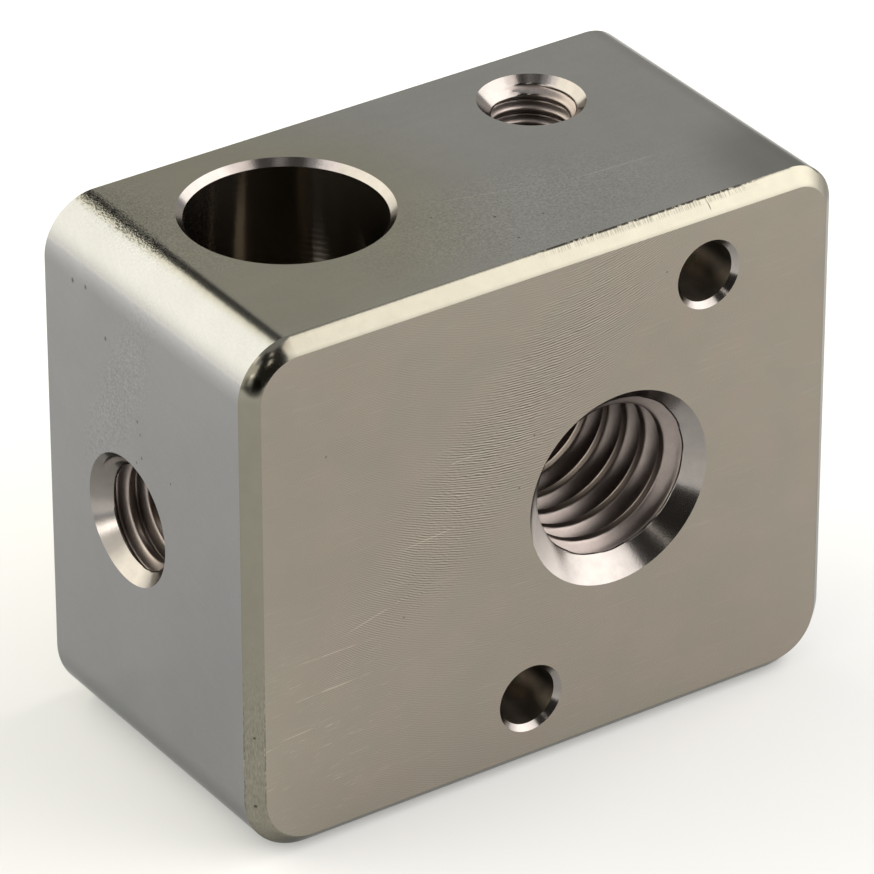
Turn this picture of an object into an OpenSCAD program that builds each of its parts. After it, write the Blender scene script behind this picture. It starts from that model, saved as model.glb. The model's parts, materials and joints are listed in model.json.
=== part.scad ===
// Heater block of a 3D printer's hot end, machined from one bar and plated.
// It stands on its long narrow side, as in the photograph: X runs along its length, Y through its
// thickness with the front face at the low end, and Z up. The origin is the middle of its base.
// All sizes are millimetres.

/* [Block] */
// Length of the block, along X
block_length = 22; // [21.6:0.1:30]
// Thickness of the block, along Y
block_depth = 12; // [11.2:0.1:18]
// Height of the block, along Z
block_height = 18.2; // [17.8:0.1:26]
// Width of the bevel round the front and back faces
face_bevel = 0.5; // [0.2:0.05:0.8]

/* [Long edges] */
// Radius of the upper left edge
upper_left_radius = 1.85; // [1:0.05:2.2]
// Radius of the upper right edge
upper_right_radius = 1.6; // [1:0.05:2.2]
// Radius of the lower right edge
lower_right_radius = 2; // [1:0.05:2.2]
// Radius of the lower left edge
lower_left_radius = 2.25; // [1:0.05:2.4]

/* [Heater bore] */
// Diameter of the bore for a quarter inch heater cartridge
heater_bore_diameter = 6.4; // [6:0.05:6.6]
// Distance of the bore's axis from the left end
heater_bore_from_left = 6; // [5.8:0.1:6.2]
// Distance of the bore's axis from the back face
heater_bore_from_back = 5; // [4.6:0.1:5.6]
// Width of the chamfer at both mouths of the bore
heater_bore_chamfer = 0.22; // [0.1:0.02:0.4]

/* [Nozzle thread] */
// Drilled diameter of the M6 thread that takes the nozzle and the heat break
nozzle_drill_diameter = 5; // [4.8:0.05:5.2]
// Outer diameter of the countersinks of the M6 thread
nozzle_countersink_diameter = 6.75; // [6.2:0.05:7]
// Distance of the M6 thread's axis from the right end
nozzle_from_right = 8.3; // [7.8:0.1:8.6]
// Height of the M6 thread's axis over the base
nozzle_from_base = 9.1; // [8.8:0.1:9.4]

/* [Tie screw holes] */
// Diameter of the two blind holes beside the M6 thread
tie_hole_diameter = 2; // [1.6:0.05:2.2]
// Width of the chamfer at the mouths of these holes
tie_hole_chamfer = 0.18; // [0.08:0.02:0.3]
// Depth of these holes, without their drill point
tie_hole_depth = 5; // [3:0.1:6]
// Distance of each of these holes from the M6 thread's axis, along X
tie_hole_offset_x = 3.3; // [3:0.1:3.8]
// Distance of each of these holes from the M6 thread's axis, along Z
tie_hole_offset_z = 6.6; // [6:0.1:6.8]

/* [Heater clamp thread] */
// Drilled diameter of the M4 thread of the set screw that clamps the heater
clamp_drill_diameter = 3.3; // [3:0.05:3.4]
// Outer diameter of the countersink of the M4 thread
clamp_countersink_diameter = 4.4; // [4:0.05:4.8]
// Height of the M4 thread's axis over the base
clamp_from_base = 9.1; // [6:0.1:12]

/* [Sensor thread] */
// Drilled diameter of the M3 thread of the temperature sensor
sensor_drill_diameter = 2.5; // [2.4:0.05:2.6]
// Outer diameter of the countersink of the M3 thread
sensor_countersink_diameter = 3.5; // [3.1:0.05:4]
// Depth of the M3 thread's drilled hole, without its drill point
sensor_depth = 5; // [3:0.1:5.4]
// Distance of the M3 thread's axis from the right end
sensor_from_right = 5.65; // [5:0.05:6]
// Distance of the M3 thread's axis from the back face
sensor_from_back = 3.3; // [2.8:0.1:3.6]

/* [Hidden] */
$fn = 96;

// Angle of a drill's point, from flank to flank
drill_point_angle = 118;
// How far each cutter runs past the face that it opens
past_face = 1;

left_end = -block_length / 2;
right_end = block_length / 2;
front_face = -block_depth / 2;
back_face = block_depth / 2;

heater_bore_x = left_end + heater_bore_from_left;
heater_bore_y = back_face - heater_bore_from_back;
nozzle_x = right_end - nozzle_from_right;
sensor_x = right_end - sensor_from_right;
sensor_y = back_face - sensor_from_back;

// The four long edges of the block, seen from the front: the centre of each rounding,
// its radius, and the angle at which its quarter turn begins
EDGES = [
    [right_end - upper_right_radius, block_height - upper_right_radius, upper_right_radius, 0],
    [left_end + upper_left_radius, block_height - upper_left_radius, upper_left_radius, 90],
    [left_end + lower_left_radius, lower_left_radius, lower_left_radius, 180],
    [right_end - lower_right_radius, lower_right_radius, lower_right_radius, 270],
];

// Point on the rounding of one edge, at an angle
function rounding_point(edge, angle) =
    [edge[0] + edge[2] * cos(angle), edge[1] + edge[2] * sin(angle)];

// Outline of the block seen from the front: straight sides between four roundings
module front_outline() {
    polygon([for (edge = EDGES) for (turn = [0, 90]) rounding_point(edge, edge[3] + turn)]);
    for (edge = EDGES)
        translate([edge[0], edge[1]])
            circle(r = edge[2]);
}

// Section of a bevel cutter: its long side is the bevel, from a point inset by the bevel's
// width on the face to the outline at the same depth. It reaches past both surfaces.
module bevel_section() {
    polygon([
        [-face_bevel - past_face, -past_face],
        [past_face, -past_face],
        [past_face, face_bevel + past_face],
    ]);
}

// Cutter for the bevel round a face that lies in the XY plane, with the block above it
module bevel_cutter() {
    for (i = [0 : len(EDGES) - 1]) {
        edge = EDGES[i];
        next = EDGES[(i + 1) % len(EDGES)];
        run = rounding_point(next, next[3]) - rounding_point(edge, edge[3] + 90);
        translate([edge[0], edge[1], 0]) {
            // the rounding's quarter turn
            rotate([0, 0, edge[3]])
                rotate_extrude(angle = 90)
                    translate([edge[2], 0])
                        bevel_section();
            // the straight side that follows it
            rotate([0, 0, edge[3] + 90])
                translate([edge[2], 0, 0])
                    rotate([90, 0, 180])
                        mirror([1, 0, 0])
                            linear_extrude(norm(run))
                                bevel_section();
        }
    }
}

// Turns what is drawn in the XY plane to face the front, with Y going up and Z to the front
module face_front() {
    rotate([90, 0, 0])
        children();
}

// Drilled blind hole from the origin down -Z, with a 45 degree mouth and a drill point
module blind_hole(diameter, mouth_diameter, depth) {
    wall = diameter / 2;
    mouth = mouth_diameter / 2;
    point_depth = wall / tan(drill_point_angle / 2);
    rotate_extrude()
        polygon([
            [0, past_face],
            [mouth + past_face, past_face],
            [wall, wall - mouth],
            [wall, -depth],
            [0, -depth - point_depth],
        ]);
}

// Hole from the origin down -Z through a wall of the given thickness, with a 45 degree mouth
// at both ends
module through_hole(diameter, mouth_diameter, thickness) {
    wall = diameter / 2;
    mouth = mouth_diameter / 2;
    rotate_extrude()
        polygon([
            [0, past_face],
            [mouth + past_face, past_face],
            [wall, wall - mouth],
            [wall, mouth - wall - thickness],
            [mouth + past_face, -thickness - past_face],
            [0, -thickness - past_face],
        ]);
}

// Hole from the origin down -Z that ends in another hole at the given depth, with a 45 degree mouth
module side_hole(diameter, mouth_diameter, depth) {
    wall = diameter / 2;
    mouth = mouth_diameter / 2;
    rotate_extrude()
        polygon([
            [0, past_face],
            [mouth + past_face, past_face],
            [wall, wall - mouth],
            [wall, -depth],
            [0, -depth],
        ]);
}

// Bar with its rounded long edges and the bevels of its two faces
module bevelled_bar() {
    difference() {
        translate([0, back_face, 0])
            face_front()
                linear_extrude(block_depth)
                    front_outline();
        for (side = [0, 1])
            translate([0, side == 0 ? back_face : front_face, 0])
                mirror([0, side, 0])
                    face_front()
                        bevel_cutter();
    }
}

// Heater block: the bar with its six holes
module heater_block() {
    color([0.62, 0.60, 0.56])
    difference() {
        bevelled_bar();
        // heater bore, right through from the top
        translate([heater_bore_x, heater_bore_y, block_height])
            through_hole(
                heater_bore_diameter,
                heater_bore_diameter + 2 * heater_bore_chamfer,
                block_height
            );
        // M6 thread, right through from the front
        translate([nozzle_x, front_face, nozzle_from_base])
            face_front()
                through_hole(nozzle_drill_diameter, nozzle_countersink_diameter, block_depth);
        // two tie screw holes, opposite each other across the M6 thread
        for (side = [-1, 1])
            translate([
                nozzle_x + side * tie_hole_offset_x,
                front_face,
                nozzle_from_base + side * tie_hole_offset_z
            ])
                face_front()
                    blind_hole(
                        tie_hole_diameter,
                        tie_hole_diameter + 2 * tie_hole_chamfer,
                        tie_hole_depth
                    );
        // M4 thread, from the left end into the heater bore
        translate([left_end, heater_bore_y, clamp_from_base])
            rotate([0, -90, 0])
                side_hole(clamp_drill_diameter, clamp_countersink_diameter, heater_bore_from_left);
        // M3 thread, blind from the top
        translate([sensor_x, sensor_y, block_height])
            blind_hole(sensor_drill_diameter, sensor_countersink_diameter, sensor_depth);
    }
}

heater_block();
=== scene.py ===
"""Visible surfaces, finishes and studio of a satin nickel plated heater block.

The block is one solid, so it is one piece here too. Its flats, roundings, bevels and bores are worked out as grids in
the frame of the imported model, its three tapped holes get their real turns, and each kind of surface gets the mark that
its cutter left under the plating. Lengths are in metres, and those of the finishes' patterns in millimetres.
"""

import json
import math

import bpy
import numpy as np
from bpy.props import FloatProperty, FloatVectorProperty, IntProperty, PointerProperty
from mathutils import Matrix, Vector
from mathutils.geometry import delaunay_2d_cdt


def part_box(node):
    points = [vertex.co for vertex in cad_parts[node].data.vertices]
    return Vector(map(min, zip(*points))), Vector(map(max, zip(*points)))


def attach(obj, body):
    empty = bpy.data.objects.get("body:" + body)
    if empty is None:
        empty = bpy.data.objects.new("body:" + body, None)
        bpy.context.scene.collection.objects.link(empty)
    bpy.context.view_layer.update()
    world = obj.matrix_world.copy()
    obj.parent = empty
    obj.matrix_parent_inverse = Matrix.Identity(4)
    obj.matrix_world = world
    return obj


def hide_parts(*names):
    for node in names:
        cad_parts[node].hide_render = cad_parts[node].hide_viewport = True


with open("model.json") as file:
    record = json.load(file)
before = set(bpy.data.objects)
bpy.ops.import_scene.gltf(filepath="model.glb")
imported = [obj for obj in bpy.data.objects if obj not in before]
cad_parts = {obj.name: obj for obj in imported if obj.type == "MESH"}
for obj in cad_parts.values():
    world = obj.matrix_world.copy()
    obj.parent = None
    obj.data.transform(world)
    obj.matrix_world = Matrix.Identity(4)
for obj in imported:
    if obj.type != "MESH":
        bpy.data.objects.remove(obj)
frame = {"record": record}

bl_info = {
    "name": "Heater block",
    "version": (1, 0, 0),
    "blender": (4, 5, 0),
    "location": "3D View > Sidebar > Heater block",
    "description": "Builds the machined surfaces, nickel finishes and studio of a heater block",
    "category": "Object",
}

NODE = "heater_block"
MM = 0.001
LOW, HIGH = (np.array(corner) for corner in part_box(NODE))
MOUNTS = {mount["name"]: mount for mount in frame["record"]["mounts"]}

# Finishes, in the order of the piece's material slots
FACE, SIDE, BEVEL, BORE, DRILLED, THREAD = range(6)


def linear(code):
    """Linear light of an sRGB hex colour such as "#AEA79F": each channel c becomes ((c + 0.055) / 1.055) ** 2.4."""
    channels = [int(code[i : i + 2], 16) / 255 for i in (1, 3, 5)]
    return tuple(c / 12.92 if c <= 0.04045 else ((c + 0.055) / 1.055) ** 2.4 for c in channels)


def length(name, description, millimetres):
    """A size in metres, shown in the scene's units."""
    default = millimetres * MM
    return FloatProperty(name=name, description=description, default=default, min=0.0, unit="LENGTH", precision=5)


def angle(name, description, degrees):
    """An angle, kept in radians and shown in degrees."""
    return FloatProperty(name=name, description=description, default=math.radians(degrees), unit="ROTATION")


def number(name, description, default):
    """A plain number."""
    return FloatProperty(name=name, description=description, default=default)


def colour(name, description, code):
    """A colour, kept in linear light."""
    return FloatVectorProperty(
        name=name, description=description, default=linear(code), size=3, subtype="COLOR", min=0.0, max=1.0
    )


class HeaterBlockSizes(bpy.types.PropertyGroup):
    """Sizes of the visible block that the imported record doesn't hold."""

    upper_right_radius: length("Upper right radius", "Radius of the upper right long edge", 1.6)
    upper_left_radius: length("Upper left radius", "Radius of the upper left long edge", 1.85)
    lower_left_radius: length("Lower left radius", "Radius of the lower left long edge", 2.25)
    lower_right_radius: length("Lower right radius", "Radius of the lower right long edge", 2.0)
    face_bevel: length("Face bevel", "Width of the bevel round the front and back faces", 0.5)
    heater_chamfer: length("Heater bore chamfer", "Width of the chamfer at the heater bore's mouths", 0.22)
    tie_chamfer: length("Tie hole chamfer", "Width of the chamfer at the tie screw holes' mouths", 0.18)
    tie_depth: length("Tie hole depth", "Depth of the tie screw holes without their point", 5.0)
    nozzle_countersink: length("Nozzle countersink", "Width of the nozzle thread's countersinks", 0.875)
    nozzle_major: length("Nozzle thread", "Outer radius of the nozzle thread", 3.0)
    nozzle_pitch: length("Nozzle pitch", "Length of one turn of the nozzle thread", 1.0)
    clamp_countersink: length("Clamp countersink", "Width of the clamp thread's countersink", 0.55)
    clamp_major: length("Clamp thread", "Outer radius of the clamp thread", 2.0)
    clamp_pitch: length("Clamp pitch", "Length of one turn of the clamp thread", 0.7)
    sensor_countersink: length("Sensor countersink", "Width of the sensor thread's countersink", 0.5)
    sensor_major: length("Sensor thread", "Outer radius of the sensor thread", 1.5)
    sensor_pitch: length("Sensor pitch", "Length of one turn of the sensor thread", 0.5)
    sensor_depth: length("Sensor depth", "Depth of the sensor hole without its point", 5.0)
    sensor_turns_end: length("Sensor thread end", "Depth at which the sensor thread's turns run out", 4.3)
    drill_point: angle("Drill point", "Angle of a drill's point from flank to flank", 118)
    nozzle_start: angle("Nozzle thread start", "Angle at which the nozzle thread's groove starts", 0)
    clamp_start: angle("Clamp thread start", "Angle at which the clamp thread's groove starts", -113)
    sensor_start: angle("Sensor thread start", "Angle at which the sensor thread's groove starts", 0)
    edge_steps: IntProperty(name="Edge steps", description="Steps round each long edge", default=32, min=4)


class HeaterBlockFinish(bpy.types.PropertyGroup):
    """Colours and gloss of the nickel plate, and the face mill's marks."""

    # face, side and bevel nickel are one plate with painted light: the face warmer and the sides cooler for the light
    # each mirrors, and the bevels darker, partly burnished and partly painted shade
    face_nickel: colour("Face nickel", "Nickel on the milled faces, a little warm from the copper below", "#968D83")
    face_tarnish: colour("Face tarnish", "Cooler clouds on the milled faces", "#928D82")
    side_nickel: colour("Side nickel", "Nickel on the sides and their roundings", "#939395")
    side_stain: colour("Side stain", "Warmer nickel round the heater bore's mouth", "#8E8C84")
    bevel_nickel: colour("Bevel nickel", "Nickel on the bevels", "#868378")
    bore_nickel: colour("Bore nickel", "Nickel in the reamed heater bore", "#9E9588")
    drilled_nickel: colour("Drilled nickel", "Nickel in drilled holes, where the bath plates less", "#9C8F7F")
    countersink_nickel: colour("Countersink nickel", "Nickel on the cones at the holes' mouths", "#97928F")
    thread_nickel: colour("Thread nickel", "Nickel on the tapped turns", "#978D89")
    # dark colour of dirt in pits, and of dirt and painted groove shade along the burrs
    grime_and_shade: colour("Grime", "Dirt in pits and along burrs", "#1E1C18")
    face_roughness: number("Face roughness", "Gloss of the milled faces", 0.27)
    side_roughness: number("Side roughness", "Gloss of the sides", 0.18)
    bevel_roughness: number("Bevel roughness", "Gloss of bevels and cones", 0.17)
    bore_roughness: number("Bore roughness", "Gloss of the heater bore", 0.16)
    drilled_roughness: number("Drilled roughness", "Gloss of drilled holes", 0.5)
    thread_roughness: number("Thread roughness", "Gloss of the threads", 0.37)
    mill_radius: length("Mill radius", "Radius of the arcs that the face mill left", 12.5)
    mill_step: length("Mill step", "Distance from one arc to the next", 0.0864)
    mill_height: length("Mill height", "Height of the arcs", 0.0012)


class HeaterBlockStudio(bpy.types.PropertyGroup):
    """Floor, lights and camera."""

    floor: colour("Floor", "Colour of the studio floor", "#D1D1D0")
    floor_half: length("Floor half width", "Half the width of the floor", 3000)
    floor_lift: number("Floor lift", "How far the seen floor is lifted away from the block", 0.54)
    near_lift: number("Near lift", "How far the seen floor is lifted at the block", 0.2)
    lift_near: length("Lift starts", "Distance from the block at which the floor's lift starts", 18)
    lift_far: length("Lift ends", "Distance from the block at which the floor's lift is full", 110)
    surround: number("Surround", "Brightness of the white surround", 0.6)
    view_azimuth: angle("View azimuth", "Side that the camera stands on, from the front towards the right", -34.21)
    view_elevation: angle("View elevation", "Height of the camera over the horizon", 30.73)
    view_distance: length("View distance", "Distance from the camera to the point it looks at", 221.9)
    view_point: FloatVectorProperty(
        name="View point",
        description="Point that the camera looks at",
        default=(0.166 * MM, 0.371 * MM, 8.673 * MM),
        size=3,
        subtype="TRANSLATION",
        unit="LENGTH",
        precision=5,
    )
    lens: number("Lens", "Focal length for a 36 mm wide sensor", 288.5)


# ---- surfaces ----


class Surface:
    """Vertices, normals and map coordinates of one stretch of the block, with its faces and their finish.

    The faces are turned to their normals' side: the cross product of a face's diagonals, or of two sides of a
    triangle, leaves the block. turns is 1 where a vertex lies on a thread's turns and 0 elsewhere.
    """

    def __init__(self, points, normals, mapped, faces, finish, turns=0.0):
        self.points = points.reshape(-1, 3)
        self.normals = np.broadcast_to(normals, points.shape).reshape(-1, 3)
        self.mapped = mapped.reshape(-1, 2)
        corners = self.points[faces]
        facing = np.cross(corners[:, 2] - corners[:, 0], corners[:, -1] - corners[:, 1])
        wrong = (facing * self.normals[faces[:, 0]]).sum(1) < 0
        self.faces = np.where(wrong[:, None], faces[:, ::-1], faces)
        self.finish = np.full(len(faces), finish, np.int32)
        self.turns = np.broadcast_to(turns, points.shape[:-1]).reshape(-1)


def grid(points, normals, mapped, finish, turns=0.0):
    """Surface over a grid of rows and columns: each cell is a quad of four neighbouring points."""
    rows, columns = points.shape[:2]
    index = np.arange(rows * columns).reshape(rows, columns)
    corners = [index[:-1, :-1], index[:-1, 1:], index[1:, 1:], index[1:, :-1]]
    return Surface(points, normals, mapped, np.stack(corners, -1).reshape(-1, 4), finish, turns)


def inside(points, loop):
    """Which points lie in a closed loop: a ray from such a point to the right crosses it an odd number of times."""
    a, b = loop, np.roll(loop, -1, 0)
    x, y = points[:, :1], points[:, 1:]
    spans = (a[:, 1] > y) != (b[:, 1] > y)
    rise = np.where(a[:, 1] == b[:, 1], 1.0, b[:, 1] - a[:, 1])
    crossing = a[:, 0] + (b[:, 0] - a[:, 0]) * (y - a[:, 1]) / rise
    return (spans & (x < crossing)).sum(1) % 2 == 1


# Flat points closer than this are one, in mm
SAME_POINT = 1e-7


def triangles(points, openings):
    """Triangles over the hull of flat points, with the loops in openings kept as edges and left open.

    points holds the loops of the openings at its end, in order.
    """
    sides, start = [], len(points) - sum(len(loop) for loop in openings)
    for loop in openings:
        ring = np.arange(start, start + len(loop))
        sides += list(zip(ring.tolist(), np.roll(ring, -1).tolist()))
        start += len(loop)
    _, _, made, sources, _, _ = delaunay_2d_cdt([Vector(p) for p in (points / MM).tolist()], sides, [], 0, SAME_POINT)
    faces = np.array([[sources[corner][0] for corner in face] for face in made])
    centres = points[faces].mean(1)
    shut = np.ones(len(faces), bool)
    for loop in openings:
        shut &= ~inside(centres, loop)
    return faces[shut]


def flat(border, openings, normal, finish):
    """Flat surface inside a convex border of 3D points, less its openings, each a loop of 3D points."""
    across = [k for k in range(3) if not normal[k]]
    points = np.concatenate([border, *openings])
    faces = triangles(points[:, across], [loop[:, across] for loop in openings])
    return Surface(points, np.array(normal, float), points[:, across] / MM, faces, finish)


# ---- outline of the block ----


def outline(size, inset):
    """Path round the block seen from the front, as X and Z of 4 quarter turns, and its outward normals.

    Each long edge is the quarter turn centre + (radius - inset) * (cos a, sin a), where the angle a runs on from
    one edge to the next, so the straight sides lie between the turns.
    """
    radius = np.array(
        [size.upper_right_radius, size.upper_left_radius, size.lower_left_radius, size.lower_right_radius]
    )
    right, top = np.array([1, 0, 0, 1], bool), np.array([1, 1, 0, 0], bool)
    centre_x = np.where(right, HIGH[0] - radius, LOW[0] + radius)
    centre_z = np.where(top, HIGH[2] - radius, LOW[2] + radius)
    turn = np.radians(np.arange(4) * 90)[:, None] + np.linspace(0, np.pi / 2, size.edge_steps + 1)
    normal = np.stack([np.cos(turn), np.sin(turn)], -1)
    path = np.stack([centre_x, centre_z], -1)[:, None] + (radius - inset)[:, None, None] * normal
    return path, normal


def at_depth(path, y):
    """3D points of a path in X and Z, at one depth Y."""
    return np.stack([path[..., 0], np.full(path.shape[:-1], y), path[..., 1]], -1)


# Rows across a bevel as shares of its width, and how far each row's normal leans to the face (-) or to the side (+)
BEVEL_ROWS = (0.0, 0.2, 0.8, 1.0)
BEVEL_LEAN = (-0.9, 0.0, 0.0, 0.9)
# The same at the middle of the upper left corner, where the bevel itself is rounded
CORNER_LEAN = (-1.3, -0.5, 0.75, 1.5)
# Quarter turn of the outline that this corner is
UPPER_LEFT = 1


def bevel_normals(size, slope, face, side):
    """Normals of a bevel's rows: its slope's normal, which leans to the face or to the side, and more so at the corner.

    slope and side are vectors along the outline, and face is the vector of the block's front or back.
    """
    rounded = np.zeros((4, size.edge_steps + 1))
    rounded[UPPER_LEFT] = np.sin(np.linspace(0, np.pi, size.edge_steps + 1))
    rounded = np.append(rounded, 0.0)
    lean = np.array(BEVEL_LEAN)[:, None] + rounded * np.subtract(CORNER_LEAN, BEVEL_LEAN)[:, None]
    lean = lean[..., None]
    normals = slope + np.maximum(-lean, 0) * face + np.maximum(lean, 0) * side
    return normals / np.linalg.norm(normals, axis=-1, keepdims=True)


def bar_surfaces(size, openings):
    """The block's outside: front and back faces, bevels round them, roundings along the long edges, and flat sides.

    openings holds, for each face name, the loops of the holes that open there.
    """
    bevel = size.face_bevel
    edge, normal = outline(size, 0.0)
    rim, _ = outline(size, bevel)
    inner_path, outer_path, around = (
        np.concatenate([part.reshape(-1, 2), part[:1, 0]]) for part in (rim, edge, normal)
    )
    along = np.concatenate([[0], np.cumsum(np.linalg.norm(np.diff(outer_path, axis=0), axis=1))]) / MM
    share = np.array(BEVEL_ROWS)[:, None, None]
    slope_length = bevel * math.sqrt(2) / MM
    front, back = LOW[1], HIGH[1]
    made = []
    for name, y, way in (("front", front, -1), ("back", back, 1)):
        face = np.array([0.0, way, 0.0])
        made.append(flat(at_depth(rim.reshape(-1, 2), y), openings[name], (0, way, 0), FACE))
        inner, outer = at_depth(inner_path, y), at_depth(outer_path, y - way * bevel)
        normals = bevel_normals(size, at_depth(around, way), face, at_depth(around, 0.0))
        mapped = np.stack(np.broadcast_arrays(along, share[..., 0] * slope_length), -1)
        made.append(grid(inner + share * (outer - inner), normals, mapped, BEVEL))
    ends = (front + bevel, back - bevel)
    turned = np.linspace(0, 1, size.edge_steps + 1)
    ways = {"top": (0, 0, 1), "left": (-1, 0, 0), "bottom": (0, 0, -1), "right": (1, 0, 0)}
    for corner, (name, way) in enumerate(ways.items()):
        points = np.stack([at_depth(edge[corner], y) for y in ends])
        arc = np.linalg.norm(np.diff(edge[corner], axis=0), axis=1).sum() / MM * turned
        mapped = np.stack(np.broadcast_arrays(arc, np.array(ends)[:, None] / MM), -1)
        made.append(grid(points, at_depth(normal[corner], 0.0), mapped, SIDE))
        side = np.stack([edge[corner, -1], edge[(corner + 1) % 4, 0]])
        border = np.concatenate([at_depth(side, ends[0]), at_depth(side[::-1], ends[1])])
        made.append(flat(border, openings[name], way, SIDE))
    return made


# ---- holes ----

# Columns round each hole's wall
HOLE_COLUMNS = {
    "heater_bore": 96,
    "nozzle_thread": 144,
    "heater_clamp_thread": 112,
    "sensor_thread": 96,
    "tie_hole_upper": 72,
    "tie_hole_lower": 72,
}
# Rows down each tapped wall
NOZZLE_ROWS, SENSOR_ROWS, CLAMP_ROWS = 288, 120, 84


class Hole:
    """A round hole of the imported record: where its axis meets the block's surface, and the way into it.

    A point of the hole is mouth + depth * inward + radius * (cos turn * across + sin turn * over), where the turn
    goes by the right hand about the way in.
    """

    def __init__(self, name):
        mount = MOUNTS[name]
        axis = next(k for k in range(3) if abs(mount["axis"][k]) > 0.5)
        leaves = mount["axis"][axis] > 0
        self.mouth = np.array(mount["pos_m"], float)
        self.mouth[axis] = HIGH[axis] if leaves else LOW[axis]
        self.through = HIGH[axis] - LOW[axis]
        self.radius = mount["dims"]["r_mm"] * MM
        basis = np.eye(3)
        self.inward = -basis[axis] if leaves else basis[axis]
        pair = (axis + 1) % 3, (axis + 2) % 3
        self.across, self.over = (basis[k] for k in (pair[::-1] if leaves else pair))
        self.turn = np.linspace(0, 2 * np.pi, HOLE_COLUMNS[name] + 1)

    def outward(self, turn):
        """Unit vectors from the axis at each turn."""
        return np.cos(turn)[..., None] * self.across + np.sin(turn)[..., None] * self.over

    def points(self, radius, depth):
        """Points at each radius and depth, for the turns of the columns."""
        turn, radius, depth = np.broadcast_arrays(self.turn, radius, depth)
        return self.mouth + depth[..., None] * self.inward + radius[..., None] * self.outward(turn)

    def loop(self, widening, depth=0.0):
        """Closed loop of points at one depth, wider than the hole, without the first point again at its end."""
        return self.points(self.radius + widening, depth)[:-1]

    def unrolled(self, depth):
        """Map coordinates in mm: the way round the hole and the way in."""
        return np.stack(np.broadcast_arrays(self.turn * self.radius / MM, depth / MM), -1)

    def change_round(self, values):
        """Change of each value with the turn, from its neighbours on both sides round the hole."""
        padded = np.concatenate([values[:, -2:-1], values, values[:, 1:2]], 1)
        return (padded[:, 2:] - padded[:, :-2]) / (2 * self.turn[1])

    def wall(self, radius, depth, finish, turns=0.0):
        """Wall whose radius is a function of turn and depth, with rows by depth and columns by turn.

        The normal points to the air: minus the outward vector, plus the slope of the radius along the hole and
        round it.
        """
        turn, radius, depth = np.broadcast_arrays(self.turn, radius, depth)
        along = np.gradient(radius, axis=0) / np.gradient(depth, axis=0)
        around = (self.change_round(radius) - along * self.change_round(depth)) / radius
        ring = self.outward(turn + np.pi / 2)
        normal = -self.outward(turn) + along[..., None] * self.inward + around[..., None] * ring
        normal /= np.linalg.norm(normal, axis=-1, keepdims=True)
        return grid(self.points(radius, depth), normal, self.unrolled(depth), finish, turns)

    def chamfer(self, width, start=0.0, way=1):
        """Chamfer of 45 degrees at a mouth, narrowing to the hole's wall from a depth inward (1) or outward (-1)."""
        share = np.array([[0.0], [1.0]])
        depth = start + way * width * share
        normal = -(self.outward(self.turn) + way * self.inward) / math.sqrt(2)
        return grid(self.points(self.radius + width * (1 - share), depth), normal, self.unrolled(depth), THREAD)

    def point(self, depth, flanks):
        """Drill's point at the bottom of a blind hole: a fan of triangles from the wall's last loop to the tip."""
        tip_depth = self.radius / math.tan(flanks / 2)
        rim = self.points(self.radius, depth)
        tip = np.broadcast_to(self.mouth + (depth + tip_depth) * self.inward, rim.shape)
        first = np.arange(len(rim) - 1)
        faces = np.stack([first, first + 1, first + len(rim)], -1)
        out = self.outward(self.turn)
        normal = (-out * tip_depth - self.radius * self.inward) / math.hypot(tip_depth, self.radius)
        mapped = self.unrolled(np.array([[depth], [depth + tip_depth]]))
        return Surface(np.stack([rim, tip]), normal, mapped, faces, DRILLED)


def tapped(turn, depth, minor, major, pitch, start):
    """Radius of a tapped wall: a 60 degree groove that goes one pitch deeper with each turn to the right.

    The distance d from the groove's middle is taken along the hole. The radius is major - (d - flat) / tan 30,
    kept between the drilled and the outer radius, where the flat at the groove's bottom is an eighth of a pitch
    wide. The mean over a few hundredths of a millimetre rounds its corners as plating does.
    """
    flat_half = pitch / 16
    softened = np.linspace(-0.03, 0.03, 5) * MM
    total = 0.0
    for shift in softened:
        distance = np.abs((depth + shift - pitch * (turn + start) / (2 * np.pi)) / pitch % 1 - 0.5) * pitch
        total = total + np.clip(major - (distance - flat_half) / math.tan(math.radians(30)), minor, major)
    return total / len(softened)


# Width of the soft border between a tapped hole's turns and its cone
TURNS_BORDER = 0.02 * MM


def countersunk(turns, cone):
    """Wall of a tapped hole with its mouth's cone: the wider of both radii, and how far each point is on the turns."""
    return np.maximum(turns, cone), np.clip((turns - cone) / TURNS_BORDER, 0, 1)


def smooth_step(x):
    """0 below 0, 1 above 1 and 3x^2 - 2x^3 between them."""
    x = np.clip(x, 0, 1)
    return x * x * (3 - 2 * x)


def tapped_through(hole, size):
    """Nozzle thread: turns from face to face, inside the two cones of its countersinks."""
    depth = np.linspace(0, hole.through, NOZZLE_ROWS + 1)[:, None]
    turns = tapped(hole.turn, depth, hole.radius, size.nozzle_major, size.nozzle_pitch, size.nozzle_start)
    mouth = hole.radius + size.nozzle_countersink
    radius, on_turns = countersunk(turns, np.maximum(mouth - depth, mouth - (hole.through - depth)))
    return hole.wall(radius, depth, THREAD, on_turns)


def tapped_blind(hole, size):
    """Sensor thread: a countersink, turns that run out before the bottom, and a drill's point."""
    depth = np.linspace(0, size.sensor_depth, SENSOR_ROWS + 1)[:, None]
    turns = tapped(hole.turn, depth, hole.radius, size.sensor_major, size.sensor_pitch, size.sensor_start)
    fade = 1 - smooth_step((depth - size.sensor_turns_end) / size.sensor_pitch)
    turns = hole.radius + (turns - hole.radius) * fade
    radius, on_turns = countersunk(turns, hole.radius + size.sensor_countersink - depth)
    return [hole.wall(radius, depth, THREAD, on_turns), hole.point(size.sensor_depth, size.drill_point)]


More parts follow.
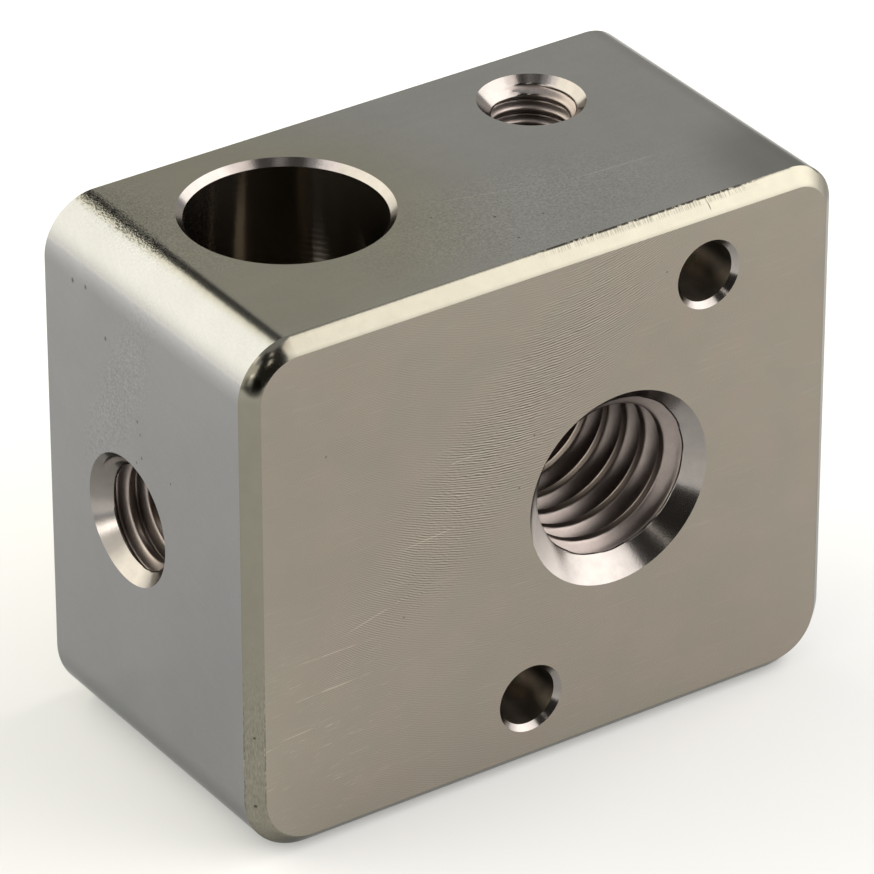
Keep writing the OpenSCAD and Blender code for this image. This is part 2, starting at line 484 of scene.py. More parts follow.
def clamp_ends(clamp, heater):
    """Depths at which the clamp hole's drilled wall meets the heater bore, for each turn.

    The axes cross at right angles, so at the height y = r cos(turn) over the bore's middle plane the bore's wall
    is sqrt(R^2 - y^2) from its axis.
    """
    level = clamp.radius * np.cos(clamp.turn)
    axis_depth = (heater.mouth - clamp.mouth) @ clamp.inward
    return axis_depth - np.sqrt(heater.radius**2 - level**2)


# Length over which the clamp thread's turns run out at the heater bore, as a share of its pitch
CLAMP_RUN_OUT = 0.4


def tapped_into_bore(clamp, heater, size):
    """Clamp thread: a countersink and turns up to the heater bore, whose round wall cuts the last row."""
    ends = clamp_ends(clamp, heater)
    depth = np.linspace(0, 1, CLAMP_ROWS + 1)[:, None] * ends
    turns = tapped(clamp.turn, depth, clamp.radius, size.clamp_major, size.clamp_pitch, size.clamp_start)
    fade = smooth_step((ends - depth) / (CLAMP_RUN_OUT * size.clamp_pitch))
    turns = clamp.radius + (turns - clamp.radius) * fade
    radius, on_turns = countersunk(turns, clamp.radius + size.clamp_countersink - depth)
    return clamp.wall(radius, depth, THREAD, on_turns)


# Rows of the heater bore's wall before and after the clamp hole, and beside it
BORE_ROWS, OPENING_ROWS = 6, 17
# How far the close rows reach, and the free space round the opening, as shares of the clamp hole's radius
OPENING_REACH, OPENING_SPACE = 1.25, 1.06


def bore_with_opening(heater, clamp, size):
    """Heater bore's wall, unrolled as turn by depth, meshed round the clamp hole's opening and rolled up again."""
    opening_turn = math.atan2(-clamp.inward @ heater.over, -clamp.inward @ heater.across)
    opening_depth = (clamp.mouth - heater.mouth) @ heater.inward
    reach = clamp.radius * OPENING_REACH
    rows = np.concatenate(
        [
            np.linspace(size.heater_chamfer, opening_depth - reach, BORE_ROWS)[:-1],
            np.linspace(opening_depth - reach, opening_depth + reach, OPENING_ROWS),
            np.linspace(opening_depth + reach, heater.through - size.heater_chamfer, BORE_ROWS)[1:],
        ]
    )
    turn = opening_turn + np.linspace(-np.pi, np.pi, len(heater.turn))
    turn, depth = (part.reshape(-1) for part in np.meshgrid(turn, rows))
    level = heater.radius * np.sin(turn - opening_turn)
    facing = np.cos(turn - opening_turn) > 0
    near = np.hypot(level, depth - opening_depth) < clamp.radius * OPENING_SPACE
    kept = ~(facing & near)
    wall = np.stack([turn[kept], depth[kept]], -1)

    rim = clamp.points(clamp.radius, clamp_ends(clamp, heater))[:-1] - heater.mouth
    rim_turn = np.arctan2(rim @ heater.over, rim @ heater.across)
    rim_turn = opening_turn + (rim_turn - opening_turn + np.pi) % (2 * np.pi) - np.pi
    opening = np.stack([rim_turn, rim @ heater.inward], -1)

    flat_points = np.concatenate([wall, opening])
    unrolled = flat_points * [heater.radius, 1]
    faces = triangles(unrolled, [opening * [heater.radius, 1]])
    out = heater.outward(flat_points[:, 0])
    points = heater.mouth + flat_points[:, 1:] * heater.inward + heater.radius * out
    return Surface(points, -out, unrolled / MM, faces, BORE)


def hole_surfaces(size):
    """Walls of the six holes, and the loops by which they open in the block's faces."""
    heater, nozzle, clamp, sensor, *ties = (Hole(name) for name in HOLE_COLUMNS)
    made = [
        heater.chamfer(size.heater_chamfer),
        heater.chamfer(size.heater_chamfer, heater.through, -1),
        bore_with_opening(heater, clamp, size),
        tapped_into_bore(clamp, heater, size),
        tapped_through(nozzle, size),
        *tapped_blind(sensor, size),
    ]
    for tie in ties:
        depth = np.array([size.tie_chamfer, size.tie_depth])[:, None]
        made.append(tie.chamfer(size.tie_chamfer))
        made.append(tie.wall(tie.radius, depth, DRILLED))
        made.append(tie.point(size.tie_depth, size.drill_point))
    openings = {
        "front": [nozzle.loop(size.nozzle_countersink)] + [tie.loop(size.tie_chamfer) for tie in ties],
        "back": [nozzle.loop(size.nozzle_countersink, nozzle.through)],
        "top": [heater.loop(size.heater_chamfer), sensor.loop(size.sensor_countersink)],
        "bottom": [heater.loop(size.heater_chamfer, heater.through)],
        "left": [clamp.loop(size.clamp_countersink)],
        "right": [],
    }
    return made, openings


# Points closer than this are one
WELD = 1e-4 * MM


def joined(name, surfaces):
    """One closed mesh of all surfaces, with the points that meet welded."""
    first = np.cumsum([0] + [len(part.points) for part in surfaces])
    faces = [face for part, start in zip(surfaces, first) for face in (part.faces + start).tolist()]
    loops = np.concatenate(faces)
    points, normals, mapped, turns, finish = (
        np.concatenate([getattr(part, kind) for part in surfaces])
        for kind in ("points", "normals", "mapped", "turns", "finish")
    )
    places = np.round(points / WELD).astype(np.int64)
    _, keep, welded = np.unique(places, axis=0, return_index=True, return_inverse=True)
    welded = welded.reshape(-1)
    mesh = bpy.data.meshes.new(name)
    mesh.from_pydata(points[keep].tolist(), [], [welded[face].tolist() for face in faces])
    mesh.shade_smooth()
    mesh.polygons.foreach_set("material_index", finish)
    mesh.uv_layers.new(name="Machining").uv.foreach_set("vector", mapped[loops].astype(np.float32).reshape(-1))
    mesh.attributes.new("Turns", "FLOAT", "POINT").data.foreach_set("value", turns[keep].astype(np.float32))
    mesh.normals_split_custom_set(normals[loops].tolist())
    mesh.update()
    return mesh


# ---- finishes ----


def add(tree, kind, inputs=None, **settings):
    """Adds a node with its settings. An input is a field, a socket or a value; a colour is given without alpha."""
    made = tree.nodes.new("ShaderNode" + kind)
    for key, value in settings.items():
        setattr(made, key, value)
    for key, value in (inputs or {}).items():
        socket, value = made.inputs[key], getattr(value, "socket", value)
        if isinstance(value, bpy.types.NodeSocket):
            tree.links.new(value, socket)
        else:
            socket.default_value = (*value, 1.0) if socket.type == "RGBA" else value
    return made


def plain_material(name):
    """New material and its empty tree."""
    material = bpy.data.materials.new(name)
    material.use_nodes = True
    material.node_tree.nodes.clear()
    return material, material.node_tree


class Field:
    """A number that changes over a surface. Sums, differences, products and quotients of fields are fields."""

    def __init__(self, tree, socket):
        self.tree, self.socket = tree, socket

    def maths(self, operation, *values):
        """Result of an operation on the field and other fields or numbers."""
        made = add(self.tree, "Math", dict(enumerate((self, *values))), operation=operation)
        return Field(self.tree, made.outputs[0])

    def __add__(self, other):
        return self.maths("ADD", other)

    def __sub__(self, other):
        return self.maths("SUBTRACT", other)

    def __rsub__(self, other):
        return self * -1.0 + other

    def __mul__(self, other):
        return self.maths("MULTIPLY", other)

    def __truediv__(self, other):
        return self.maths("DIVIDE", other)

    def __or__(self, other):
        return self.maths("MAXIMUM", other)

    def spread(self, low, high, to_low=0.0, to_high=1.0):
        """Soft step: to_low where the field is below low, to_high where it is above high."""
        inputs = {0: self, "From Min": low, "From Max": high, "To Min": to_low, "To Max": to_high}
        return Field(self.tree, add(self.tree, "MapRange", inputs, interpolation_type="SMOOTHSTEP").outputs[0])


def parts(tree, socket):
    """Fields of the three parts of a vector."""
    return [Field(tree, part) for part in add(tree, "SeparateXYZ", {0: socket}).outputs]


# Nickel's share of a mirror's gain towards grazing light
EDGE_TINT = (0.55, 0.55, 0.55)


class Plate:
    """Nickel plate over one kind of cut. Its patterns are laid out in the block's own millimetres."""

    def __init__(self, name):
        self.material, self.tree = plain_material(name)
        self.place = add(self.tree, "TexCoord").outputs["Object"]

    def framed(self, centre, size, turn=(0, 0, 0)):
        """Place as seen from a centre, turned, and measured in steps of a size along each of its axes, in mm."""
        inputs = {
            "Vector": self.place,
            "Location": Vector(centre) * MM,
            "Rotation": [math.radians(t) for t in turn],
            "Scale": Vector(size) * MM,
        }
        return add(self.tree, "Mapping", inputs, vector_type="TEXTURE").outputs[0]

    def axes(self):
        """Place along X, Y and Z in mm."""
        return parts(self.tree, self.framed((0, 0, 0), (1, 1, 1)))

    def unrolled(self):
        """Way round a hole's wall and way in, in mm."""
        return parts(self.tree, add(self.tree, "UVMap", uv_map="Machining").outputs[0])[:2]

    def noise(self, size, turn=(0, 0, 0), detail=2.0):
        """Noise about 0.5 whose grains have a size along three axes, in mm."""
        inputs = {"Vector": self.framed((0, 0, 0), size, turn), "Scale": 1.0, "Detail": detail}
        return Field(self.tree, add(self.tree, "TexNoise", inputs).outputs["Fac"])

    def mark(self, centre, size, turn=(0, 0, 0)):
        """1 at the centre of an oval mark, falling to 0 at its half axes."""
        oval = {"Vector": self.framed(centre, size, turn)}
        return Field(self.tree, add(self.tree, "TexGradient", oval, gradient_type="SPHERICAL").outputs["Fac"])

    def marks(self, listed):
        """All the marks of a list of centres, half axes and turns, as one mask."""
        found, *others = (self.mark(*mark) for mark in listed)
        for other in others:
            found = found | other
        return found

    def mixed(self, share, one, two):
        """Colour between two colours: the first where the share is 0 and the second where it is 1."""
        return add(self.tree, "MixRGB", {"Fac": share, "Color1": one, "Color2": two}).outputs[0]

    def ringed(self):
        """Inputs of a metal whose fine rings run round a bore: they draw a mirrored light out along it."""
        tangent = add(self.tree, "Tangent", direction_type="UV_MAP", uv_map="Machining").outputs[0]
        return {"Anisotropic": 0.9, "Anisotropic Rotation": 0.25, "Tangent": tangent}

    def finish(self, metal, tone, height, roughness, grime_and_shade=0.0, dirt_and_shade_colour=(0, 0, 0), **more):
        """Principled metal over heights in mm: its colour times the tone, darkened by a mask to dirt and painted shade.
        """
        toned = add(self.tree, "VectorMath", {0: metal, "Scale": tone}, operation="SCALE").outputs[0]
        bump = add(self.tree, "Bump", {"Strength": 1.0, "Distance": MM, "Height": height})
        inputs = {
            "Base Color": self.mixed(grime_and_shade, toned, dirt_and_shade_colour) if grime_and_shade else toned,
            "Metallic": 1.0,
            "Roughness": roughness,
            "Normal": bump.outputs[0],
            "Specular Tint": EDGE_TINT,
            **more,
        }
        shader = add(self.tree, "BsdfPrincipled", inputs)
        add(self.tree, "OutputMaterial", {"Surface": shader.outputs[0]})
        return self.material


# Where the left side, the front face and the top lie, in mm
LEFT, FRONT, TOP = LOW[0] / MM, LOW[1] / MM, HIGH[2] / MM
# Size of a pattern along an axis on which it stays the same, in mm
EVEN = 9

# Scratches of the front face as X and Z of both ends, in mm: light hairlines that run along the block
FACE_SCRATCHES = (
    (-10.35, 5.5, -6.2, 5.65),
    (-10.1, 6.85, -5.8, 6.85),
    (-8.3, 7.15, -4.8, 8.05),
    (-8.9, 3.55, -7.9, 3.6),
    (-6.0, 9.6, -2.9, 9.85),
    (-4.6, 12.05, -1.8, 12.2),
    (-10.2, 4.3, -8.3, 4.4),
)
FACE_SCRATCH_HALF_WIDTH = 0.03
# Pits of the front face as X, Z and radius, in mm
FACE_PITS = ((-0.55, 12.1, 0.06), (-1.1, 10.4, 0.05), (-5.4, 7.2, 0.05), (-8.2, 13.9, 0.05), (4.4, 16.3, 0.05))
# Pits of the left side as Y, Z and radius, in mm
SIDE_PITS = (
    (3.85, 16.3, 0.09),
    (3.1, 16.4, 0.08),
    (2.0, 15.1, 0.08),
    (0.25, 13.0, 0.06),
    (0.1, 12.6, 0.05),
    (0.05, 11.8, 0.06),
    (0.35, 11.5, 0.05),
    (-1.6, 11.7, 0.05),
)
# How much taller than wide they are
SIDE_PIT_STRETCH = 1.4
# Pits of the top as X, Y and radius, in mm
TOP_PITS = ((0.05, -2.95, 0.07), (-0.1, -4.45, 0.06), (-1.6, -1.9, 0.05), (1.4, -3.6, 0.05))
# Scratches of the top as centres, half axes and turns, in mm and degrees
TOP_SCRATCHES = (((4.9, -2.4, TOP), (2.9, 0.05, 1), (0, 0, -3)), ((0.6, -1.6, TOP), (2.6, 0.04, 1), (0, 0, -15)))
# Where the grain of the sides is coarsest, given in the same way: the top's front middle, the top beside the heater
# bore, and a stripe that falls towards the front on the left side
GRAIN_PATCHES = (
    ((0.8, -3.2, TOP), (7.5, 3.6, 3)),
    ((-8.9, 2.2, TOP + 0.1), (2.2, 4.6, 0.75)),
    ((LEFT, 1.4, 13.2), (1, 1.5, 5.5), (25, 0, 0)),
)
# Dark specks of the front bevel, given in the same way: two on its left stretch and a nick in the upper one
BEVEL_SPOTS = (
    ((-10.75, -5.75, 4.6), (0.06, 0.06, 0.06)),
    ((-10.75, -5.75, 2.1), (0.08, 0.08, 0.08)),
    ((6.15, -5.8, 18.0), (0.03, 0.25, 0.2)),
)
# Length along the heater bore of one faint ring, in mm
RING_STEP = 0.21
# Way round a tie hole to the middle of its painted highlight stripe, in mm
PAINTED_STRIPE_PLACE = 2.2


def milled_face(look):
    """Face milled copper under nickel: the mill's teeth left one fine arc per feed step, so the face is silky.

    The mill's middle moves up the face, so the arcs are copies of one circle: an arc's number is
    (z + sqrt(R^2 - x^2)) / step, and the height is a sine of it. Light hairlines and a few pits lie across them.
    """
    plate = Plate("nickel_over_face_milling")
    across, _, up = plate.axes()
    over_middle = ((look.mill_radius / MM) ** 2 - across * across).maths("SQRT")
    arc = (up + over_middle) / (look.mill_step / MM) + plate.noise((0.8, EVEN, 0.4)) * 1.3
    wave = (arc * (2 * math.pi)).maths("SINE")
    # the teeth bite unevenly: most in a band that falls to the left, less elsewhere
    band = plate.mark((-1.5, FRONT, 12.4), (13, EVEN, 3.3), (0, -46, 0))
    uneven = plate.noise((0.7, EVEN, 0.14), (0, -8, 0), detail=3.0)
    line = wave * band.spread(0.15, 0.95, 0.12, 1.0) * uneven.spread(0.35, 0.65, 0.35, 1.0)
    hairlines = [
        (
            ((x1 + x2) / 2, FRONT, (z1 + z2) / 2),
            (math.hypot(x2 - x1, z2 - z1) / 2, 1, FACE_SCRATCH_HALF_WIDTH),
            (0, -math.degrees(math.atan2(z2 - z1, x2 - x1)), 0),
        )
        for x1, z1, x2, z2 in FACE_SCRATCHES
    ]
    scratched = plate.marks(hairlines).spread(0.1, 0.7) * uneven.spread(0.4, 0.55)
    brushed = plate.noise((1.6, EVEN, 0.05)).spread(0.62, 0.72)
    # the lower left was rubbed on something: short light scuffs that rise a little to the right
    rubbed = plate.mark((-9.0, FRONT, 4.2), (5.5, EVEN, 5)).spread(0.05, 0.6)
    scuffs = plate.noise((0.6, EVEN, 0.03), (0, -7, 0)).spread(0.6, 0.75)
    gathered = plate.noise((0.9, EVEN, 0.5), (0, -30, 0)).spread(0.45, 0.6)
    light = brushed * 0.07 + scratched * 0.4 + scuffs * gathered * rubbed * 0.42
    pitted = plate.marks([((x, FRONT, z), (r, 1, r)) for x, z, r in FACE_PITS]).spread(0.1, 0.6, 0.0, 0.5)
    # painted light makes the face a little brighter towards the lower edge, where it mirrors the shaded floor by the
    # block
    clouds = plate.noise((2.4, EVEN, 1.8)) * 0.08 + up.spread(0.0, 18.0, 1.06, 0.88)
    tarnished = plate.noise((1.6, EVEN, 1.3), detail=4.0).spread(0.3, 0.7)
    metal = plate.mixed(tarnished, look.face_nickel, look.face_tarnish)
    height = line * (look.mill_height / MM)
    return plate.finish(metal, clouds + line * 0.75 + light, height, look.face_roughness, pitted, look.grime_and_shade)


def grained_side(look):
    """Drawn copper bar under nickel: a soft grained skin, pebbled on top, with small pits and a few dark specks.

    The grain is coarser than the real one, which is too fine to show at this distance.
    """
    plate = Plate("nickel_over_drawn_bar")
    across, depth, up = plate.axes()
    pebble = plate.noise((0.075, 0.075, 0.075), detail=3.0) - 0.5
    drawn = plate.noise((1.5, 1.5, 0.12), (22, 0, 0)) - 0.5
    grain = pebble * plate.marks(GRAIN_PATCHES).spread(0.0, 0.7, 0.12, 0.8)
    pits = [((LEFT, y, z), (1, r, r * SIDE_PIT_STRETCH)) for y, z, r in SIDE_PITS]
    pits += [((x, y, TOP), (r, r, 1)) for x, y, r in TOP_PITS]
    pitted = plate.marks(pits).spread(0.1, 0.6, 0.0, 0.6)
    scratched = plate.marks(TOP_SCRATCHES).spread(0.1, 0.8, 0.0, 0.22)
    # painted light makes the sides a little brighter towards the lower edge, where they mirror the shaded floor by the
    # block
    clouds = plate.noise((2.0, 2.0, 2.4)) * 0.12 + up.spread(2.0, 14.0, 1.04, 0.91)
    tone = clouds + drawn * 0.05 + grain * 1.1 + scratched
    # painted shade darkens the top at its front right corner, and the rounding beside it
    corner = plate.mark((9.8, -5.0, TOP), (3.4, 4.2, 2.0))
    rim = across.spread(9.8, 10.3) * up.spread(16.9, 17.6) * depth.spread(4.5, 1.0)
    tone = tone * corner.spread(0.0, 0.7, 1.0, 0.7) * rim.spread(0.0, 1.0, 1.0, 0.66)
    # the skin is torn where the rounding meets the top at the rear
    torn = plate.mark((-9.5, 3.6, 18.0), (1.7, 3.6, 1.3)).spread(0.05, 0.55)
    ragged = plate.mark((-9.5, 3.4, 18.08), (0.55, 4.6, 0.3)).spread(0.05, 0.6)
    specks = plate.noise((0.07, 0.16, 0.07), detail=3.0).spread(0.53, 0.6)
    pitted = pitted | specks * ragged * 0.7
    height = grain * 0.004 + drawn * 0.002 + pebble * torn * 0.008
    stained = plate.mark((-8.0, 0.5, TOP), (11, 10, 2)).spread(0.05, 0.5) * up.spread(TOP - 0.2, TOP - 0.05)
    metal = plate.mixed(stained, look.side_nickel, look.side_stain)
    return plate.finish(metal, tone, height, look.side_roughness, pitted, look.grime_and_shade)


def chamfered(look):
    """Chamfer milled copper under nickel: glossier than the faces, with chatter marks across it and a thin burr.

    The burr is a dark, broken line where the bevel meets the top and along both borders of the left bevel: dirt,
    and the painted shade of the groove along it.
    """
    plate = Plate("nickel_over_chamfering")
    across, depth, up = plate.axes()
    on_front = depth.spread(-5.35, -5.45)
    span = plate.mark((3.9, -5.7, 18.1), (4.8, 3, 3))
    teeth = plate.noise((0.035, 2, 0.5)).spread(0.45, 0.58)
    chatter = teeth * up.spread(TOP - 0.22, TOP - 0.12) * on_front * span.spread(0.05, 0.4)
    top_edge = up.spread(TOP - 0.06, TOP - 0.04) * span.spread(0.0, 0.3) * on_front
    left_edge = across.spread(LEFT + 0.045, LEFT + 0.025) | depth.spread(FRONT + 0.045, FRONT + 0.025)
    left_edge = left_edge * up.spread(7.5, 4.5, 0.0, 0.32) * up.spread(1.6, 2.8)
    # the burr line is dirt and the painted shade of the groove along the burr
    burr_dirt_and_shade = (top_edge | left_edge) * plate.noise((0.12, 0.12, 0.5)).spread(0.36, 0.48)
    grime_and_shade = burr_dirt_and_shade * 0.85 | plate.marks(BEVEL_SPOTS).spread(0.1, 0.5, 0.0, 0.75)
    # the lower half of the left bevel is mottled
    mottle = (plate.noise((0.05, 0.05, 0.18), detail=3.0) - 0.5) * up.spread(9.0, 4.0)
    clouds = plate.noise((0.5, 0.5, 0.5), detail=3.0) * 0.16 + 0.92
    tone = clouds + mottle - chatter * 0.36
    # painted shade darkens the left bevel, a painted highlight brightens the bevel towards the right end, and painted
    # shade darkens the right bevel again
    tone = tone * across.spread(LEFT, -8.0, 0.87, 1.0) * across.spread(-8.0, 10.0, 1.0, 1.1)
    tone = tone * across.spread(10.45, 10.65, 1.0, 0.87)
    # painted shade: the bevel is darkest at the upper left corner, where it mirrors the dark side by the camera
    painted_corner_shade = plate.mark((-10.6, -5.75, 17.0), (0.35, 0.5, 0.42))
    tone = tone * painted_corner_shade.spread(0.0, 0.5, 1.0, 0.25)
    # painted glints brighten the burr of the left bevel where it is torn
    painted_glints = left_edge * plate.noise((0.06, 0.06, 0.14)).spread(0.5, 0.6)
    height = plate.noise((0.25, 2, 0.25), detail=3.0) * 0.002 - chatter * 0.0002
    return plate.finish(look.bevel_nickel, tone + painted_glints * 1.6, height, look.bevel_roughness, grime_and_shade, look.grime_and_shade)


def bored(look):
    """Drilled and reamed copper under nickel: smooth and dark inside, with faint rings round the bore."""
    plate = Plate("nickel_over_reaming")
    _, along = plate.unrolled()
    rings = (along * (2 * math.pi / RING_STEP)).maths("SINE")
    tone = plate.noise((0.7, 0.7, 0.7), detail=3.0) * 0.2 + 0.88 + rings * 0.03
    return plate.finish(look.bore_nickel, tone, rings * 0.0006, look.bore_roughness, **plate.ringed())


def drilled(look):
    """Drilled copper under a thin coat of nickel: the drill leaves it torn, so it only glimmers."""
    plate = Plate("nickel_over_drilling")
    _, depth, _ = plate.axes()
    round_wall, _ = plate.unrolled()
    clouds = plate.noise((0.3, 0.3, 0.3), detail=3.0) * 0.5 + 0.75
    # a painted highlight stripe runs along the hole at its lower right, and painted light makes the wall brighter
    # deeper in than at the mouth
    off_painted_stripe = (round_wall - PAINTED_STRIPE_PLACE).maths("ABSOLUTE")
    tone = clouds * off_painted_stripe.spread(0.1, 0.75, 1.25, 0.22) * depth.spread(-5.4, -3.6, 0.55, 3.2)
    height = plate.noise((0.2, 0.2, 0.06)) * 0.004
    return plate.finish(look.drilled_nickel, tone, height, look.drilled_roughness, **plate.ringed())


def tapped_turns(look):
    """Tapped copper under nickel, cloudy and soft, and the bright cones that a spinning countersink cut."""
    plate = Plate("nickel_over_tapping")
    across, _, up = plate.axes()
    turns = Field(plate.tree, add(plate.tree, "Attribute", attribute_name="Turns").outputs["Fac"])
    metal = plate.mixed(turns, look.countersink_nickel, look.thread_nickel)
    torn = plate.noise((0.08, 0.08, 0.08))
    tone = plate.noise((0.45, 0.45, 0.45), detail=3.0) * 0.3 + 0.77 + torn * turns * 0.16
    # painted shade darkens the clamp hole's cone in its upper half; the nozzle's cone is rougher at its lower left,
    # where painted light brightens it
    painted_cone_shade = across.spread(-10.3, -10.5) * up.spread(8.5, 9.1)
    matt = plate.mark((0.1, -5.8, 7.9), (1.1, 1.2, 2.6)).spread(0.05, 0.5)
    tone = tone * painted_cone_shade.spread(0.0, 1.0, 1.0, 0.66) + matt * 0.9
    roughness = turns.spread(0.0, 1.0, look.bevel_roughness, look.thread_roughness) + matt * 0.38
    return plate.finish(metal, tone, torn * 0.001, roughness)


# ---- stage ----

# Point of the block that lamps and cards face
AIM = (0.0, 0.0, 9 * MM)
# Brightness of a softbox's cloth at its dim sides
DIM_CLOTH = 0.45
# Softboxes as name, azimuth and elevation in degrees, distance, width and height, brightness, colour and dim side
SOFTBOXES = (
    ("left_rear_softbox", (-136, 24), 0.26, (0.53, 0.34), 1.96, "#FFFBE6", 1.0),
    ("right_front_softbox", (58, 29), 0.28, (0.50, 0.32), 2.53, "#FFFBF5", 0.0),
    ("left_strip_light", (-67, 17), 0.24, (0.04, 0.07), 3.6, "#FFFBF5", 1.0),
)
BLACK = (0.035, 0.032, 0.028)
# Cards as name, lowest and highest azimuth, lowest and highest elevation, distance and shade
CARDS = (
    ("camera_side", (-57, 11), (-14, 50), 0.20, BLACK),
    ("above_camera", (-67, 11), (50, 66), 0.20, BLACK),
    ("gap_beside_camera", (-30, -21.5), (37, 47), 0.19, (2.2, 2.1, 1.9)),
    ("gap_above_camera", (-34, -20), (56, 62), 0.19, (1.7, 1.6, 1.5)),
    ("white_card_above_left", (-106, -80), (44, 58), 0.19, (2.8, 2.65, 2.55)),
    ("white_card_above_right", (12, 45), (51, 60), 0.19, (2.5, 2.3, 2.15)),
    ("grey_card_behind", (112, 157), (-2, 50), 0.15, (0.85, 0.83, 0.73)),
    ("card_edge", (159, 174), (-8, 48), 0.14, BLACK),
    ("white_card_left", (-95, -59), (6, 44), 0.25, (1.5, 1.45, 1.3)),
)
# Steps of a card's curve each way
CARD_STEPS = 12
# Distances between which the floor is lit less by the lamps above it, and the share of its lift that is left there
LAMPLIGHT_ENDS, OUTSIDE_LAMPLIGHT = (0.12, 0.45), 0.68
SENSOR_WIDTH = 36.0
CLIP_START, CLIP_END = 0.01, 20.0


def linked(name, data):
    """New object of a mesh, lamp or camera, in the scene."""
    made = bpy.data.objects.new(name, data)
    bpy.context.scene.collection.objects.link(made)
    return made


def sheet(name, points, faces, material):
    """New object of a few faces in one material."""
    mesh = bpy.data.meshes.new(name)
    mesh.from_pydata(points, [], faces)
    mesh.materials.append(material)
    return linked(name, mesh)


def direction(azimuth, elevation):
    """Unit vectors towards sides of the studio, from degrees: azimuth 0 is the front and 90 the right."""
    azimuth, elevation = np.radians(azimuth), np.radians(elevation)
    level = np.cos(elevation)
    return np.stack([np.sin(azimuth) * level, -np.cos(azimuth) * level, np.sin(elevation)], -1)


def placed(obj, centre, way, distance):
    """Puts obj at a distance from a point, on the side that azimuth and elevation say, and turns its -Z to it."""
    towards = Vector(direction(*way))
    obj.location = Vector(centre) + towards * distance
    obj.rotation_mode = "QUATERNION"
    obj.rotation_quaternion = (-towards).to_track_quat("-Z", "Y")
    return obj


def softbox(name, way, distance, size, light, code, dim_side):
    """Rectangular lamp that faces the block. A lamp of power P and area A glows with P / (4 A).

    The cloth is dimmer towards its lower edge and towards one side: dim_side is 1 for its right and 0 for its left,
    seen from behind the lamp.
    """
    lamp = bpy.data.lights.new(name, "AREA")
    lamp.shape = "RECTANGLE"
    lamp.size, lamp.size_y = size
    lamp.energy = light * 4 * size[0] * size[1]
    lamp.color = linear(code)
    lamp.use_nodes = True
    tree = lamp.node_tree
    tree.nodes.clear()
    across, up, _ = parts(tree, add(tree, "NewGeometry").outputs["Parametric"])
    strength = across.spread(dim_side, 0.5, DIM_CLOTH, 1.0) * up.spread(0.0, 0.5, DIM_CLOTH, 1.0)
    glow = add(tree, "Emission", {"Strength": strength})
    add(tree, "OutputLight", {"Surface": glow.outputs[0]})
    box = placed(linked(name, lamp), AIM, way, distance)
    box.visible_camera = False


def card(name, azimuths, elevations, distance, shade):
    """Curved card at one distance round the block, between two azimuths and two elevations, that only metal mirrors."""
    material, tree = plain_material(name)
    glow = add(tree, "Emission", {"Color": shade, "Strength": 1.0})
    add(tree, "OutputMaterial", {"Surface": glow.outputs[0]})
    ways = direction(*np.meshgrid(*(np.linspace(*ends, CARD_STEPS + 1) for ends in (azimuths, elevations))))
    curve = grid(ways * distance + AIM, ways, ways[..., :2], 0)
    obj = sheet(name, curve.points.tolist(), curve.faces.tolist(), material)
    obj.visible_camera = obj.visible_shadow = obj.visible_diffuse = False


def seen(tree):
    """1 for rays of the camera and for rays that metal or glass sends on, else 0."""
    path = add(tree, "LightPath").outputs
    camera, glossy, transmission = (
        Field(tree, path["Is %s Ray" % kind]) for kind in ("Camera", "Glossy", "Transmission")
    )
    return camera | glossy | transmission


def floor_material(studio):
    """Pale matt floor. What camera and metal see of it is lifted to white away from the block; the shadow stays."""
    material, tree = plain_material("pale_matt_floor")
    matt = add(tree, "BsdfDiffuse", {"Color": studio.floor})
    place = add(tree, "TexCoord").outputs["Object"]
    away = Field(tree, add(tree, "VectorMath", {0: place}, operation="LENGTH").outputs["Value"])
    rise = away.spread(studio.lift_near, studio.lift_far, studio.near_lift, studio.floor_lift)
    # the floor right under the lamps is bright by itself
    lit = away.spread(*LAMPLIGHT_ENDS, 1.0, OUTSIDE_LAMPLIGHT)
    glow = add(tree, "Emission", {"Strength": seen(tree) * rise * lit})
    both = add(tree, "AddShader", {0: matt.outputs[0], 1: glow.outputs[0]})
    add(tree, "OutputMaterial", {"Surface": both.outputs[0]})
    return material


def surround(studio):
    """World: the same soft white from all sides."""
    world = bpy.data.worlds.new("Studio surround")
    world.use_nodes = True
    tree = world.node_tree
    tree.nodes.clear()
    light = add(tree, "Background", {"Color": (1, 1, 1), "Strength": studio.surround})
    add(tree, "OutputWorld", {"Surface": light.outputs[0]})
    return world


# ---- operators ----


class HEATERBLOCK_OT_build_block(bpy.types.Operator):
    """Build the block with its roundings, bevels, bores and threads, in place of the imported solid"""

    bl_idname = "heaterblock.build_block"
    bl_label = "Build block"

    def execute(self, context):
        size, look = context.scene.heater_block_sizes, context.scene.heater_block_finish
        holes, openings = hole_surfaces(size)
        mesh = joined("heater_block_body", bar_surfaces(size, openings) + holes)
        for material in (milled_face, grained_side, chamfered, bored, drilled, tapped_turns):
            mesh.materials.append(material(look))
        block = linked("heater_block_body", mesh)
        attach(block, "root")
        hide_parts(NODE)
        return {"FINISHED"}


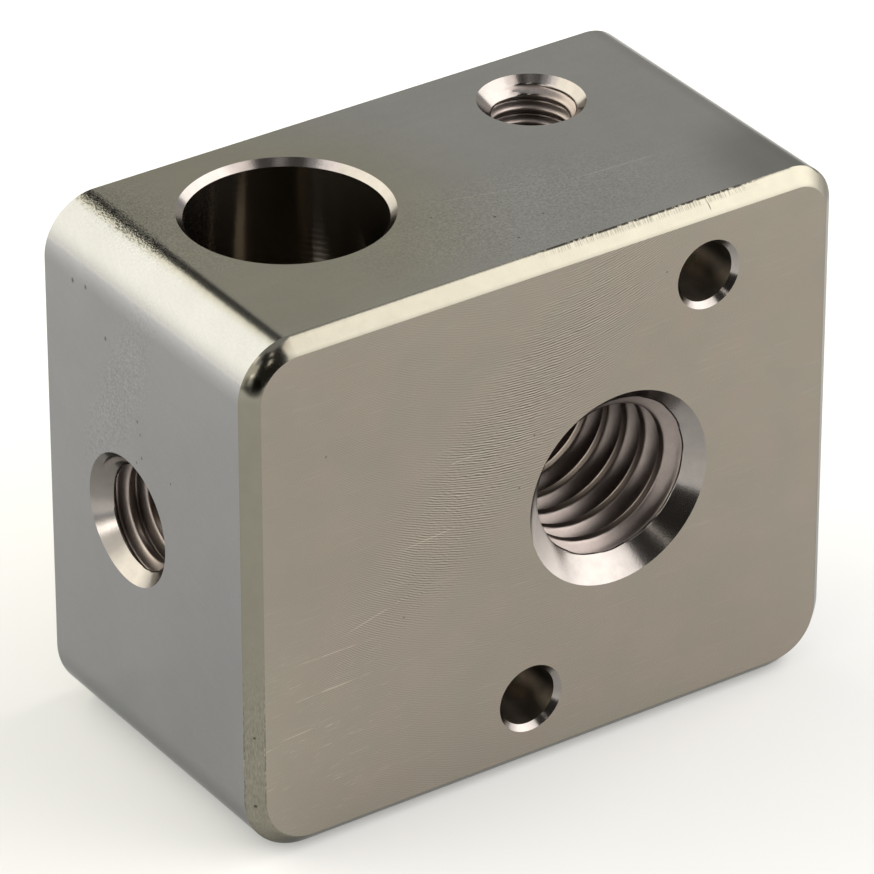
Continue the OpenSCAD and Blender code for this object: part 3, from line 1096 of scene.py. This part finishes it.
class HEATERBLOCK_OT_build_stage(bpy.types.Operator):
    """Set up the pale floor, the soft lights, the surround and the camera"""

    bl_idname = "heaterblock.build_stage"
    bl_label = "Build stage"

    def execute(self, context):
        scene, studio = context.scene, context.scene.heater_block_studio
        half = studio.floor_half
        corners = [(-half, -half, 0), (half, -half, 0), (half, half, 0), (-half, half, 0)]
        floor = sheet("floor", corners, [(0, 1, 2, 3)], floor_material(studio))

        scene.world = surround(studio)
        for lamp in SOFTBOXES:
            softbox(*lamp)
        for sides in CARDS:
            card(*sides)

        camera = bpy.data.cameras.new("camera")
        camera.lens, camera.sensor_width = studio.lens, SENSOR_WIDTH
        camera.clip_start, camera.clip_end = CLIP_START, CLIP_END
        way = math.degrees(studio.view_azimuth), math.degrees(studio.view_elevation)
        scene.camera = placed(linked("camera", camera), studio.view_point, way, studio.view_distance)
        scene.view_settings.view_transform = "Standard"
        return {"FINISHED"}


class HEATERBLOCK_PT_panel(bpy.types.Panel):
    """Sizes, finish and studio of the heater block, with the steps that build them"""

    bl_idname = "HEATERBLOCK_PT_panel"
    bl_label = "Heater block"
    bl_space_type = "VIEW_3D"
    bl_region_type = "UI"
    bl_category = "Heater block"

    def draw(self, context):
        groups = (
            (context.scene.heater_block_sizes, None),
            (context.scene.heater_block_finish, HEATERBLOCK_OT_build_block),
            (context.scene.heater_block_studio, HEATERBLOCK_OT_build_stage),
        )
        for settings, step in groups:
            column = self.layout.column(align=True)
            for name in settings.__annotations__:
                column.prop(settings, name)
            if step:
                column.operator(step.bl_idname)


GROUPS = {
    "heater_block_sizes": HeaterBlockSizes,
    "heater_block_finish": HeaterBlockFinish,
    "heater_block_studio": HeaterBlockStudio,
}
CLASSES = (*GROUPS.values(), HEATERBLOCK_OT_build_block, HEATERBLOCK_OT_build_stage, HEATERBLOCK_PT_panel)


def register():
    for cls in CLASSES:
        bpy.utils.register_class(cls)
    for name, group in GROUPS.items():
        setattr(bpy.types.Scene, name, PointerProperty(type=group))


def unregister():
    for name in GROUPS:
        delattr(bpy.types.Scene, name)
    for cls in reversed(CLASSES):
        bpy.utils.unregister_class(cls)


def main():
    """Builds the block and the stage."""
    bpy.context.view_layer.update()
    register()
    bpy.ops.heaterblock.build_block()
    bpy.ops.heaterblock.build_stage()


if __name__ == "__main__":
    main()
